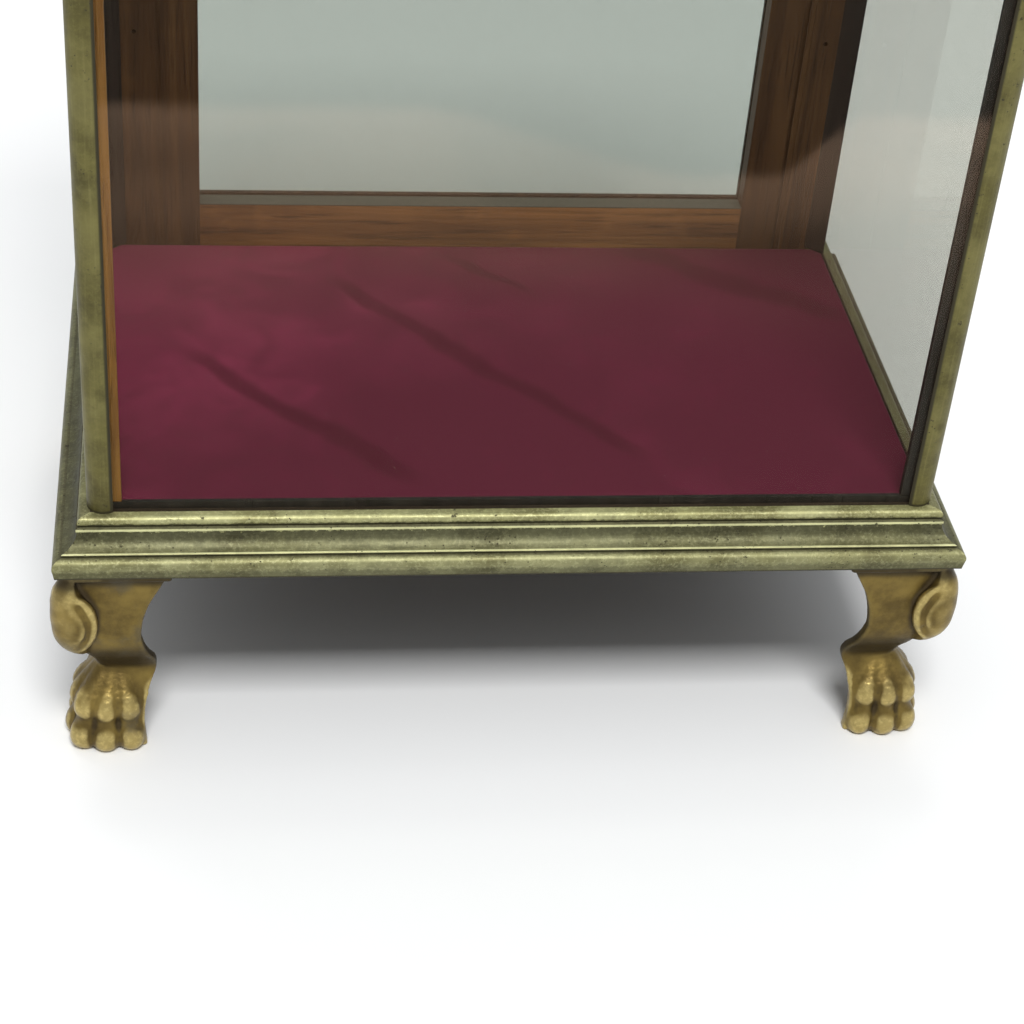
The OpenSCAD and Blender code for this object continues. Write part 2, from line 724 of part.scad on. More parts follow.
door_pane();
door_beads();
color(BRASS) hinge_leaf(-1);  // hinge_leaves_fixed
color(BRASS) hinge_leaf(1);  // hinge_leaves_door
hinge_pins();
hinge_screws(-1);  // hinge_screws_fixed
hinge_screws(1);  // hinge_screws_door
catch_knob();
catch_tongue();
catch_rose();
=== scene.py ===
"""Antique display cabinet: brass mouldings and posts, cast lion-paw feet, clear
panes, a velvet floor and a dark timber door at the back. Metres, +Z up."""

import math

import bmesh
import bpy
import numpy as np
from mathutils import Matrix, Vector, noise


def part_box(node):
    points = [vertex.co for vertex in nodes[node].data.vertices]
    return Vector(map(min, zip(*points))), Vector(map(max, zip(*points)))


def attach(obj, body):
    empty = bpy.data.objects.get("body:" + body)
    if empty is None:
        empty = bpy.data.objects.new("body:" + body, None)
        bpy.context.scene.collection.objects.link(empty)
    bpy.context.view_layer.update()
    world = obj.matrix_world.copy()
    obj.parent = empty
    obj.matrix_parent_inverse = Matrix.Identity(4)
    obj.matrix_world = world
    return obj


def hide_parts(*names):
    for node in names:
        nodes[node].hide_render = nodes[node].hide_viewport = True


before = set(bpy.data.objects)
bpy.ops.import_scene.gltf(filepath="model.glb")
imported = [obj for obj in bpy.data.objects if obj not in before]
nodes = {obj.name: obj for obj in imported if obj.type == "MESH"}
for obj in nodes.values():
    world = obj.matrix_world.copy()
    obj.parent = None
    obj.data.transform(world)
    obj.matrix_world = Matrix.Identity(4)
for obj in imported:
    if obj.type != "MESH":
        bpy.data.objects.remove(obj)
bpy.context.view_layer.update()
MM = 0.001

# ---------------------------------------------------------------- measures

WIDTH, DEPTH = 450 * MM, 296 * MM  # over the base moulding
BASE_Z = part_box("base_moulding_front")[0].z
DECK_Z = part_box("base_moulding_front")[1].z
RAIL_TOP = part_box("door_rail_bottom")[1].z
CORNERS = {
    "front_left": (-1, -1),
    "front_right": (1, -1),
    "back_left": (-1, 1),
    "back_right": (1, 1),
}


def put_in(name, data):
    """A new object of the scene that holds the data."""
    made = bpy.data.objects.new(name, data)
    bpy.context.scene.collection.objects.link(made)
    return made


# ---------------------------------------------------------------- camera and lamps

LENS = 81.04
SEEN_FROM, SEEN_TO = 0.02, 50  # metres from the camera
CAMERA_AT = Vector((-0.15095, -1.0225, 0.8107))
YAW, PITCH, ROLL = (math.radians(a) for a in (9.37, 36.58, 5.10))
LAMPS = (  # name, place, width and depth, watts
    ("key", (0.0, -2.9, 5.2), (2.0, 1.4), 235),
    ("back", (-0.3, 2.5, 4.8), (3.0, 1.6), 62),
)
LIT_AT = (0, 0, 0.15)


def aim_camera():
    """The camera, turned right by the yaw, down by the pitch and then about its own line."""
    ahead = Vector(
        (math.sin(YAW) * math.cos(PITCH), math.cos(YAW) * math.cos(PITCH), -math.sin(PITCH))
    )
    level = Vector((math.cos(YAW), -math.sin(YAW), 0))
    upright = level.cross(ahead)
    right = level * math.cos(ROLL) + upright * math.sin(ROLL)
    up = upright * math.cos(ROLL) - level * math.sin(ROLL)
    data = bpy.data.cameras.new("camera")
    data.lens = LENS
    data.clip_start, data.clip_end = SEEN_FROM, SEEN_TO
    camera = put_in("camera", data)
    turn = Matrix((right, up, -ahead)).transposed().to_4x4()
    camera.matrix_world = Matrix.Translation(CAMERA_AT) @ turn
    bpy.context.scene.camera = camera


def hang_lamps():
    """Broad soft lamps overhead, turned to the case."""
    for name, place, size, watts in LAMPS:
        data = bpy.data.lights.new(name, "AREA")
        data.shape = "RECTANGLE"
        data.size, data.size_y = size
        data.energy = watts
        lamp = put_in(name, data)
        lamp.location = place
        ahead = Vector(LIT_AT) - Vector(place)
        lamp.rotation_euler = ahead.to_track_quat("-Z", "Y").to_euler()


aim_camera()
hang_lamps()

# ---------------------------------------------------------------- shader tools


class Wire:
    """One output of a shader node. Expressions on it add their Math nodes."""

    def __init__(self, finish, socket):
        self.finish = finish
        self.socket = socket

    def _math(self, operation, a, b):
        return self.finish.node("Math", {"operation": operation}, {0: a, 1: b})

    def __add__(self, other):
        return self._math("ADD", self, other)

    def __radd__(self, other):
        return self._math("ADD", other, self)

    def __sub__(self, other):
        return self._math("SUBTRACT", self, other)

    def __rsub__(self, other):
        return self._math("SUBTRACT", other, self)

    def __mul__(self, other):
        return self._math("MULTIPLY", self, other)

    def __rmul__(self, other):
        return self._math("MULTIPLY", other, self)

    def __pow__(self, other):
        return self._math("POWER", self, other)


class Finish:
    """A material or the world, with one way of making its nodes."""

    def __init__(self, name, world=None):
        self.owner = world or bpy.data.materials.new(name)
        self.owner.use_nodes = True
        self.tree = self.owner.node_tree
        self.tree.nodes.clear()
        self.end = "OutputWorld" if world else "OutputMaterial"
        self.place = self.node("TexCoord", output="Generated" if world else "Object")

    def node(self, kind, settings=None, inputs=None, output=0):
        """A node of that kind, its settings first and then its sockets."""
        made = self.tree.nodes.new("ShaderNode" + kind)
        for key, value in (settings or {}).items():
            if key == "stops":
                ramp = made.color_ramp
                for i, (position, colour) in enumerate(value):
                    stop = ramp.elements[i] if i < 2 else ramp.elements.new(position)
                    stop.position, stop.color = position, (*colour, 1)
            else:
                setattr(made, key, value)
        for key, value in (inputs or {}).items():
            self.put(made.inputs[key], value)
        return Wire(self, made.outputs[output]) if made.outputs else None

    def put(self, socket, value):
        if isinstance(value, Wire):
            self.tree.links.new(value.socket, socket)
        elif hasattr(value, "__len__") and len(value) == 3 and socket.type == "RGBA":
            socket.default_value = (*value, 1)
        else:
            socket.default_value = value

    def stretched(self, scale):
        """The place on the piece with each axis scaled, for grain and drawn streaks."""
        return self.node("Mapping", {}, {"Vector": self.place, "Scale": scale})

    def along(self, axis):
        """The place's x, y or z: in metres on a piece, and of a direction in the world."""
        return self.node("SeparateXYZ", {}, {0: self.place}, output="xyz".index(axis))

    def noise(self, scale, detail=4.0, roughness=0.5, at=None, distortion=0.0):
        return self.node(
            "TexNoise",
            {},
            {
                "Vector": at or self.place,
                "Scale": scale,
                "Detail": detail,
                "Roughness": roughness,
                "Distortion": distortion,
            },
        )

    def cells(self, scale):
        """How far it is to the nearest of many scattered points."""
        return self.node("TexVoronoi", {}, {"Vector": self.place, "Scale": scale})

    def fade(self, value, low, high):
        """0 below low and 1 above high, smooth between. low may be the larger."""
        return self.node(
            "MapRange",
            {"interpolation_type": "SMOOTHSTEP"},
            {"Value": value, "From Min": low, "From Max": high},
        )

    def line(self, away, width):
        """1 on a line and 0 from the width on, by how far away the line is."""
        return self.fade(away * away, width * width, 0)

    def ramp(self, value, stops):
        return self.node("ValToRGB", {"stops": stops}, {"Fac": value})

    def mix(self, share, a, b, blend="MIX"):
        return self.node(
            "Mix", {"data_type": "RGBA", "blend_type": blend}, {0: share, 6: a, 7: b}, output=2
        )

    def bump(self, height, distance, strength):
        inputs = {"Height": height, "Distance": distance, "Strength": strength}
        return self.node("Bump", {}, inputs)

    def surface(self, **sockets):
        """The material's Principled shader, with underscores for spaces in the sockets' names."""
        inputs = {key.replace("_", " "): value for key, value in sockets.items()}
        return self.done(self.node("BsdfPrincipled", {}, inputs))

    def done(self, shader):
        self.node(self.end, {}, {"Surface": shader})
        return self.owner


# ---------------------------------------------------------------- brass

DRAWN_OUT = 0.035  # how much a pattern is scaled down along a drawn or sawn length
TARNISH_AND_SHADE = (0.038, 0.032, 0.015)
RAGGED_BY = 9 * MM  # how far the borders of the members' painted highlights and shade wander


def times(share, colour):
    """The colour made darker or lighter."""
    return [share * c for c in colour]


def drawn_out(axis, scale):
    """The scale on each axis of a pattern that is drawn out along one of them."""
    return [scale * (DRAWN_OUT if axis == k else 1) for k in "xyz"]


def old_brass(
    name, axis, dark, mid, light, profile=(), crevices=(), crests=(), edge=None, gloss=0.42
):
    """Drawn brass under old tarnished lacquer: olive mottling, faint streaks along its
    axis and dark pits. By height: how light its members are painted, as painted
    highlights and painted shade with ragged borders, then the lines of painted shade
    and the lines of painted highlight, each with its half width. edge is how far from
    the middle of the case a painted shadow sits against the glass."""
    f = Finish(name)
    drawn = f.stretched(drawn_out(axis, 700))
    tarnish = f.fade(f.noise(55, 7, 0.66), 0.32, 0.68)
    blotch = f.fade(f.noise(24, 5, 0.6), 0.42, 0.62)
    streak = f.fade(f.noise(1, 5, 0.6, drawn), 0.45, 0.75)
    fleck = f.fade(f.cells(430), 0.22, 0.1) * f.fade(f.noise(60, 4, 0.6), 0.5, 0.6)
    scar = f.fade(f.noise(210, 6, 0.72), 0.62, 0.68)
    speckle = f.fade(f.noise(620, 5, 0.7), 0.5, 0.6)
    stain = f.fade(f.noise(31, 5, 0.62), 0.58, 0.7)
    height = f.along("z")
    colour = f.mix(tarnish, dark, mid)
    colour = f.mix(blotch * 0.35 + streak * 0.22, colour, light)
    colour = f.mix(speckle * (0.3 if profile else 0.08), colour, times(1.2, light))
    colour = f.mix(stain * 0.45, colour, times(0.45, dark))
    # Each member of a profile is painted lighter or darker by height: painted highlights and
    # painted shade.
    if profile:
        low, high = profile[0][0], profile[-1][0]
        ragged = (f.noise(330, 6, 0.75) - 0.5) * RAGGED_BY
        level = (height - low + ragged) * (1 / (high - low))
        member_light_and_shade = f.ramp(level, [((z - low) / (high - low), (t, t, t * 0.97)) for z, t in profile])
        colour = f.mix(1.0, colour, member_light_and_shade, "MULTIPLY")
    # Painted highlight lines along the crests.
    if crests:
        painted_highlight = sum(f.line(height - level, width) for level, width in crests)
        colour = f.mix(painted_highlight * (0.6 + 0.4 * tarnish), colour, times(1.9, light))
    pits_and_shade = fleck * 0.85 + scar * 0.75
    # Lines of painted shade where the members meet darken it, as the pits and scars do.
    if crevices:
        pits_and_shade = pits_and_shade + sum(f.line(height - level, width) for level, width in crevices) * 0.8
    # A painted shadow on the brass beside the glass.
    if edge:
        aside = f.node("Math", {"operation": "ABSOLUTE"}, {0: f.along("x")})
        pits_and_shade = pits_and_shade + f.fade(aside, edge + 2.2 * MM, edge + 0.6 * MM)
    pits_and_shade = f.fade(pits_and_shade, 0, 1)
    colour = f.mix(pits_and_shade, colour, TARNISH_AND_SHADE)
    relief = 0.4 * tarnish + 0.1 * streak - fleck - 0.6 * scar
    return f.surface(
        Base_Color=colour,
        Metallic=0.5 - 0.35 * pits_and_shade,
        Specular_IOR_Level=0.3,
        Roughness=gloss + 0.12 * tarnish + 0.2 * pits_and_shade,
        Normal=f.bump(relief, 0.0003, 0.6),
    )


OLIVE = ((0.14, 0.13, 0.055), (0.25, 0.24, 0.11), (0.44, 0.435, 0.24))  # dark, mid, light
MEMBERS = (  # height over the moulding's broad end in mm, how light it is painted, as painted highlights and painted shade: torus, cove, fillet, bead
    (0, 0.5), (3.8, 0.55), (5.4, 0.9), (10.2, 1.0), (11.4, 0.66), (14.8, 0.46), (17, 0.32),
    (20, 0.32), (20.5, 1.3), (21.9, 1.3), (22.3, 0.38), (23.6, 0.53), (24.6, 1.3), (27.6, 1.42),
)
MOULDING_CREVICES = ((10.9, 0.8), (22.5, 0.9), (0.3, 0.7))  # height and half width in mm of the lines of painted shade where members meet
# Height and half width in mm of the front's painted highlight lines
FRONT_CRESTS = ((21.3, 1.0), (11.9, 0.3))


def from_base(lines, unit=MM):
    """Lines of the base moulding, from its own heights to heights above the ground. unit is
    what the other number of each line is in."""
    return [(BASE_Z + z * MM, value * unit) for z, value in lines]


# The side mouldings along y are a darker copy, 0.56 of the front's colours and without its
# highlight lines: painted shade on the sides.
MOULDING = {
    axis: old_brass(
        f"moulding_brass_{axis}",
        axis,
        *(times(share, colour) for colour in OLIVE),
        profile=from_base(MEMBERS, 1),
        crevices=from_base(MOULDING_CREVICES),
        crests=from_base(crests),
    )
    for axis, share, crests in (("x", 1.0, FRONT_CRESTS), ("y", 0.56, ()))
}
CORNICE = {axis: old_brass(f"cornice_brass_{axis}", axis, *OLIVE) for axis in "xy"}
post_low, post_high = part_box("post_front_left")
POST = old_brass(
    "post_brass",
    "z",
    (0.078, 0.067, 0.02),
    (0.139, 0.123, 0.037),
    (0.276, 0.25, 0.095),
    # Painted shade at the post's foot, and a painted shadow along its edge at the glass.
    crevices=[(post_low.z + 0.2 * MM, 1.6 * MM)],
    edge=-post_high.x,
    gloss=0.44,
)
FITTING = old_brass(
    "fitting_brass", "z", (0.2, 0.15, 0.06), (0.34, 0.26, 0.1), (0.55, 0.45, 0.2), gloss=0.3
)

# ---------------------------------------------------------------- timber

# The colour of the painted shade on the top face of the door's bottom rail
LEDGE_SHADE = (0.075, 0.08, 0.064)


def timber(name, axis, dark, mid, light, gloss=0.42, worn=0.0, ledge=None):
    """Stained and waxed timber with its grain along one axis. ledge is the height of a
    top face darkened with painted shade."""
    f = Finish(name)
    grain = f.noise(1, 8, 0.62, f.stretched(drawn_out(axis, 95)), 0.7)
    broad = f.noise(11, 3, 0.5)
    pores = f.fade(f.noise(1, 3, 0.5, f.stretched(drawn_out(axis, 900))), 0.56, 0.7)
    figure = grain * 0.72 + broad * 0.28
    colour = f.ramp(figure, [(0.36, dark), (0.5, mid), (0.66, light)])
    colour = f.mix(pores * 0.55, colour, times(0.35, dark))
    if worn:
        rubbed = f.fade(f.noise(34, 6, 0.65), 0.55, 0.72)
        colour = f.mix(rubbed * worn, colour, times(1.5, light))
    if ledge:
        height = f.along("z") - ledge
        shaded_ledge = f.fade(height, -0.9 * MM, -0.2 * MM) * f.fade(height, 2.0 * MM, 1.0 * MM)
        colour = f.mix(shaded_ledge, colour, LEDGE_SHADE)
    return f.surface(
        Base_Color=colour,
        Roughness=gloss + 0.22 * pores + 0.12 * broad,
        Coat_Weight=0.05,
        Coat_Roughness=0.35,
        Specular_IOR_Level=0.2,
        Normal=f.bump(grain - 0.5 * pores, 0.0003, 0.5),
    )


# Each timber's dark, mid and light
MAHOGANY = ((0.026, 0.01, 0.0022), (0.068, 0.0285, 0.007), (0.135, 0.062, 0.018))
SOOTED = ((0.018, 0.012, 0.008), (0.036, 0.025, 0.016), (0.065, 0.046, 0.03))
HONEY = ((0.16, 0.06, 0.009), (0.34, 0.155, 0.028), (0.5, 0.27, 0.07))
EBONY_AND_SHADOW = ((0.008, 0.008, 0.007), (0.018, 0.017, 0.015), (0.035, 0.033, 0.028))
PINE = ((0.25, 0.15, 0.07), (0.36, 0.24, 0.12), (0.48, 0.34, 0.19))
# The rails along x are a lighter copy of the stiles' mahogany: painted light, as more light falls
# on them.
FRAME_TIMBER = {
    axis: timber(
        f"frame_timber_{axis}",
        axis,
        *(times(share, colour) for colour in MAHOGANY),
        worn=0.2,
        ledge=RAIL_TOP if axis == "x" else None,
    )
    for axis, share in (("x", 3.45), ("z", 1.02))
}
CARCASS = {axis: timber(f"carcass_timber_{axis}", axis, *SOOTED, gloss=0.6) for axis in "xy"}
# The front corner strips are one wood: the left is painted as a lit copy in honey and the right as
# a shaded copy in near black. The black also serves the ebonised strips at the back, sill and head.
WARM = timber("warm_timber_z", "z", *HONEY, gloss=0.45, worn=0.2)
EBONISED_AND_SHADED = timber("ebonised_and_shaded_timber_z", "z", *EBONY_AND_SHADOW, gloss=0.5)
BOARD = timber("board_timber_x", "x", *PINE, gloss=0.7)

# ---------------------------------------------------------------- glass

GLASS_IOR = 1.45
HEAD_ON = 0.055  # taken off what the faces mirror, so that none is left head-on
# The film's colour: a dusting, with a painted pale reflection.
DUST_AND_REFLECTION_ON_GLASS = (0.95, 0.61, 0.4)
FILM_ENDS = (0.223, 0.214)  # height over the deck, in metres, where the film and its painted reflection end
FILM_THICKENS = (0.075, 0.2)


def clear_glass(name, tint, haze=None):
    """Old clear glass that mirrors only at a slant. haze gives how much film its faces
    carry: a dusting, with a painted pale reflection where it is thick.
    """
    f = Finish(name)
    front = 1 - f.node("NewGeometry", output="Backfacing")
    mirror = (f.node("Fresnel", {}, {"IOR": GLASS_IOR}) - HEAD_ON) * front
    shine = f.node("BsdfGlossy", {}, {"Color": (1, 1, 1), "Roughness": 0.02})
    through = f.node("BsdfTransparent", {}, {"Color": tint})
    if haze:
        film_shader = f.node("BsdfDiffuse", {}, {"Color": DUST_AND_REFLECTION_ON_GLASS})
        through_film = f.node("AddShader", {}, {0: through, 1: film_shader})
        through = f.node("MixShader", {}, {0: haze(f) * front, 1: through, 2: through_film})
    return f.done(f.node("MixShader", {}, {0: mirror, 1: through, 2: shine}))


def film_and_reflection(f):
    """A film on a pane below a set height, with the marks of wiping in it, and little
    elsewhere: a dusting, with a painted pale reflection where it is thick."""
    height, x = f.along("z") - DECK_Z, f.along("x")
    wipes = f.fade(f.noise(1, 3, 0.5, f.stretched((5, 5, 16)), 0.6), 0.35, 0.65)
    dip = 0.03 * f.fade(x, -0.06, 0.07) * f.fade(x, 0.14, 0.1)
    edge = height + 0.01 * f.noise(12, 2) + dip
    film = f.fade(edge, *FILM_ENDS) * f.fade(height, *FILM_THICKENS)
    return film * (0.028 + 0.04 * wipes) + 0.012


# The side panes and the door pane are darker than clear glass: their own tint, with painted shade
# for what is seen through them.
GLASS = clear_glass("clear_glass", (0.765, 0.77, 0.745))
FRONT_GLASS = clear_glass("front_glass", (0.885, 0.9, 0.88), film_and_reflection)
DOOR_GLASS = clear_glass("door_glass", (0.68, 0.705, 0.68))

# ---------------------------------------------------------------- dressing the solids


def finish_of(node):
    """The finish of a node, from its name and the way it runs."""
    low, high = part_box(node)
    size = high - low
    axis = "xyz"[max(range(3), key=lambda k: size[k])]
    if node.startswith("base_moulding"):
        return MOULDING[axis]
    if node.startswith("cornice"):
        return CORNICE[axis]
    if node.startswith("post_"):
        return POST
    if node.startswith("pane_") or node == "door_pane":
        return {"pane_front": FRONT_GLASS, "door_pane": DOOR_GLASS}.get(node, GLASS)
    if node.startswith(("hinge_", "catch_")) or node == "foot_studs":
        return FITTING
    if node.startswith(("base_rail", "top_rail")) or node == "floor_panel":
        return CARCASS["y" if axis == "y" else "x"]
    if node == "floor_board":
        return BOARD
    # The left corner strip gets the painted lit copy, the right one the painted shade.
    if node == "corner_strip_left":
        return WARM
    if node.startswith(("corner_strip", "back_strip", "sill_strip", "head_strips")):
        return EBONISED_AND_SHADED
    return FRAME_TIMBER["x" if axis == "x" else "z"]


def dress(piece, finish):
    piece.data.materials.clear()
    piece.data.materials.append(finish)


for name, piece in nodes.items():
    dress(piece, finish_of(name))

# ---------------------------------------------------------------- lion-paw feet

# Key sections of the leg in millimetres, as insets from the base's two sides:
# height, face, radius of the outer corner, inner edge, thickness there, inside
# corner and how much the face is crowned
LEG_KEYS = [
    (0, 8, 10, 42.4, 5.5, 30, 0.2),
    (18, 8.6, 11, 41.4, 5.5, 30, 0.3),
    (33, 13, 10, 43.9, 5.5, 30, 0.5),
    (43, 17.2, 9, 47.6, 6, 30, 0.5),
    (51, 14.7, 9, 47.3, 6, 28, 0.5),
    (58, 10.6, 9, 44.3, 6, 26, 0.4),
    (67, 7.1, 9, 41.7, 6, 24, 0.3),
    (77, 5.8, 9, 41.2, 6, 22, 0.2),
    (92, 5.8, 9, 44.9, 6, 22, 0.2),
    (110.5, 5.8, 9, 54.8, 6, 22, 0.2),
]
PLATE = (110.5, 2.6, 9, 56.7, 8, 40, 0)
FOOT_TOP = 114
TOE_PLACES = ((10.9, 10.9), (21.8, 8.2), (34.1, 9.4), (8.2, 21.8), (9.4, 34.1))
ANKLE_PLACE = (27, 27)
TOE_KEYS = [  # height, share of the way to the ankle, radius
    (0, 0.03, 5.5), (3, -0.02, 6.6), (7, -0.03, 7), (11, 0.01, 6.8), (14.5, 0.1, 6.2),
    (18, 0.14, 6.2), (22, 0.12, 6.9), (26, 0.15, 7.2), (31, 0.27, 6.9), (37, 0.5, 6.1),
    (43, 0.72, 5.1), (49, 0.95, 3.4),
]
KNEE_KEYS = [  # height, face, radius of its corner, inner edge
    (60, 13, 3, 17.5), (63, 6.5, 6.5, 15.5), (68, 1.7, 8, 15.4), (75, -1.3, 9, 16.8),
    (84, -2.5, 10, 18), (93, -2.5, 10, 17.2), (101, -1.4, 9, 13.6), (106.5, 0.9, 7.5, 10.8),
    (111.2, 3.6, 6, 10.8),
]
KNEE_SHOULDER = (  # share of the way to the inner edge, how far it has fallen back
    (0.1, 0), (0.25, 0.002), (0.45, 0.03), (0.6, 0.075), (0.76, 0.14), (0.88, 0.2),
    (0.95, 0.27), (1, 0.37),
)
SCROLL_AT, SCROLL_LEAN = (4.6, -1.2, 85), math.radians(14)
SCROLL_RISE = 1.42  # how much taller than wide it is
SCROLL_RIDGES = (  # radius, from, to in degrees, how proud, thickness
    (13.2, -60, 66, -0.5, 3.3),
    (8.8, -64, 66, 1.5, 1.8),
)
SCROLL_SINKS = 1.8  # at its lower end
TOE_SIDES, TUBE_SIDES, SCROLL_STEPS = 18, 10, 34
CASTING_GRAIN = 0.9 * MM
FUR_AT, PAW_TOP, KNEE_FOOT = 30, 40, 60  # heights in millimetres
HOCK = ((42, 50), (70, 58))  # where its shadow comes in and goes out
EASED = 0.8  # how much the leg's inner edge is eased
GILT_DULL, GILT = (0.105, 0.07, 0.018), (0.225, 0.157, 0.04)
GILT_RUBBED_HIGHLIGHT, GILT_GREYED = (0.66, 0.52, 0.2), (0.1, 0.09, 0.065)
GILT_HOLLOW, GILT_SHADE = (0.04, 0.027, 0.013), (0.035, 0.026, 0.013)


def flowing(rows, steps):
    """Rows of numbers with more rows put in between, on a smooth curve through them."""
    rows = np.array(rows, float)
    ends = np.vstack([rows[:1], rows, rows[-1:]])
    made = []
    for i in range(len(rows) - 1):
        a, b, c, d = ends[i : i + 4]
        for t in np.arange(steps) / steps:
            made.append(
                b + t / 2 * (c - a + t * (2 * a - 5 * b + 4 * c - d + t * (3 * (b - c) + d - a)))
            )
    return made + [rows[-1]]


def corner_arc(flat, radius, degrees):
    """The rounded outer corner, from its diagonal to the face."""
    return [
        (flat - radius * math.sin(math.radians(a)), flat - radius * math.cos(math.radians(a)))
        for a in degrees
    ]


def over_diagonal(half):
    """The other side of an outline whose first point lies on the corner's diagonal."""
    return [(y, x) for x, y in half[:0:-1]]


def leg_outline(section):
    """A section of the leg, the same on both sides of the corner's diagonal."""
    _, face, radius, inner, edge, inside, crown = section
    flat = face + radius
    half = corner_arc(flat, radius, (45, 37, 29, 21, 14, 7, 0))
    for k in (0.2, 0.4, 0.6, 0.8):
        half.append((flat + (inner - flat) * k, face - crown * math.sin(math.pi * k)))
    half += [(inner - EASED, face), (inner, face + EASED), (inner, face + edge)]
    return half + [(inside, inside)] + over_diagonal(half)


def knee_outline(section):
    """A section of the knee, the same on both sides of the corner's diagonal."""
    _, face, radius, inner = section
    flat = face + radius
    half = corner_arc(flat, radius, range(45, -1, -9))
    half += [(flat + (inner - flat) * k, face + (inner - face) * d) for k, d in KNEE_SHOULDER]
    half.append((inner + 0.8, face + max(9, 10 - face)))  # its side, sunk in the leg
    return half + over_diagonal(half)


def round_about(count):
    """Angles of so many equal steps round a circle."""
    return [2 * math.pi * k / count for k in range(count)]


def skin(mesh, rings):
    """Adds a closed skin over a stack of rings."""
    made = [[mesh.verts.new(p) for p in ring] for ring in rings]
    count = len(made[0])
    mesh.faces.new(made[0][::-1])
    mesh.faces.new(made[-1])
    for low, high in zip(made, made[1:]):
        for k in range(count):
            n = (k + 1) % count
            mesh.faces.new((low[k], low[n], high[n], high[k]))


def tube(mesh, points, radii):
    """Adds a closed tube along a line of points."""
    rings = []
    for i, point in enumerate(points):
        ahead = (points[min(i + 1, len(points) - 1)] - points[max(i - 1, 0)]).normalized()
        across = ahead.orthogonal().normalized() if i == 0 else across - ahead * across.dot(ahead)
        across.normalize()
        other = ahead.cross(across)
        rings.append(
            [
                point + radii[i] * (across * math.cos(a) + other * math.sin(a))
                for a in round_about(TUBE_SIDES)
            ]
        )
    skin(mesh, rings)


def scroll_line(radius, start, end, count, forward):
    """Points of a scroll round the knee on its front face, leaning towards the leg."""
    points = []
    for k in range(count):
        angle = math.radians(start + (end - start) * k / (count - 1))
        out = radius * math.cos(angle)
        points.append(
            Vector(
                (
                    SCROLL_AT[0] + out * math.cos(SCROLL_LEAN),
                    SCROLL_AT[1] - forward + out * math.sin(SCROLL_LEAN),
                    SCROLL_AT[2] + SCROLL_RISE * radius * math.sin(angle),
                )
            )
        )
    return points


def foot_parts():
    """The foot's forms, run into one another, in millimetres in from the corner."""
    mesh = bmesh.new()
    skin(mesh, [[(x, y, s[0]) for x, y in leg_outline(s)] for s in flowing(LEG_KEYS, 8)])
    skin(mesh, [[(x, y, z) for x, y in leg_outline(PLATE)] for z in (PLATE[0], FOOT_TOP)])
    skin(mesh, [[(x, y, s[0]) for x, y in knee_outline(s)] for s in flowing(KNEE_KEYS, 6)])
    for place in TOE_PLACES:
        rings = []
        for z, share, radius in flowing(TOE_KEYS, 4):
            x, y = (a + (b - a) * share for a, b in zip(place, ANKLE_PLACE))
            rings.append(
                [
                    (x + radius * math.cos(a), y + radius * math.sin(a), z)
                    for a in round_about(TOE_SIDES)
                ]
            )
        skin(mesh, rings)
    count = SCROLL_STEPS
    for radius, start, end, forward, thick in SCROLL_RIDGES:
        line = scroll_line(radius, start, end, count, forward)
        for k, point in enumerate(line):
            point.y += SCROLL_SINKS * max(0, 1 - 3 * k / count)
        swell = [math.sin(math.pi * (k + 1) / (count + 1)) ** 0.6 for k in range(count)]
        radii = [thick * (0.35 + 0.65 * full) for full in swell]
        for swap in (False, True):
            points = [Vector((p.y, p.x, p.z)) if swap else p for p in line]
            tube(mesh, points, radii)
    bmesh.ops.recalc_face_normals(mesh, faces=mesh.faces)
    return mesh


def cast_in_one():
    """The foot's forms as one soft-edged mesh, in metres."""
    forms = foot_parts()
    for v in forms.verts:
        v.co *= MM
    rough = bpy.data.meshes.new("foot_forms")
    forms.to_mesh(rough)
    forms.free()
    piece = put_in("foot_forms", rough)
    cast = piece.modifiers.new("cast", "REMESH")
    cast.mode, cast.voxel_size = "VOXEL", CASTING_GRAIN
    soften = piece.modifiers.new("soften", "SMOOTH")
    soften.factor, soften.iterations = 0.5, 5
    depsgraph = bpy.context.evaluated_depsgraph_get()
    mesh = bpy.data.meshes.new_from_object(piece.evaluated_get(depsgraph))
    bpy.data.objects.remove(piece)
    return mesh


def finished_foot():
    """One foot with its uneven skin and fur: points, faces and how worn each point is."""
    mesh = cast_in_one()
    count = len(mesh.vertices)
    points = np.empty(count * 3)
    mesh.vertices.foreach_get("co", points)
    points = points.reshape(-1, 3)
    normals = np.array([v.normal for v in mesh.vertices])
    ends = np.array([e.vertices[:] for e in mesh.edges])
    degree = np.bincount(ends.ravel(), minlength=count)[:, None]

    def around(values):
        """The mean of each point's neighbours."""
        total = np.zeros_like(values)
        np.add.at(total, ends[:, 0], values[ends[:, 1]])
        np.add.at(total, ends[:, 1], values[ends[:, 0]])
        return total / degree

    swell = np.array([noise.noise(Vector(p) * 140) for p in points])
    fur = np.array([noise.noise(Vector(p) * 620) for p in points])
    furry = np.clip(1 - abs(points[:, 2] - FUR_AT * MM) / (14 * MM), 0, 1)
    points = points + normals * ((0.22 * swell + 0.3 * fur * furry) * MM)[:, None]
    smooth = points
    for _ in range(10):
        smooth = around(smooth)
    proud = ((points - smooth) * normals).sum(1) / MM
    for _ in range(3):
        proud = around(proud[:, None])[:, 0]
    paw = np.clip((PAW_TOP * MM - points[:, 2]) / (8 * MM), 0, 1)
    knee = np.clip(1 - (points[:, :2].max(1) - 20 * MM) / (4 * MM), 0, 1)
    handled = np.maximum(paw, knee * (points[:, 2] > KNEE_FOOT * MM))
    worn = 0.5 + np.clip(proud / 1.1, -0.5, 0.5) * (0.25 + 0.75 * handled)
    faces = [p.vertices[:] for p in mesh.polygons]
    bpy.data.meshes.remove(mesh)
    return points, faces, worn


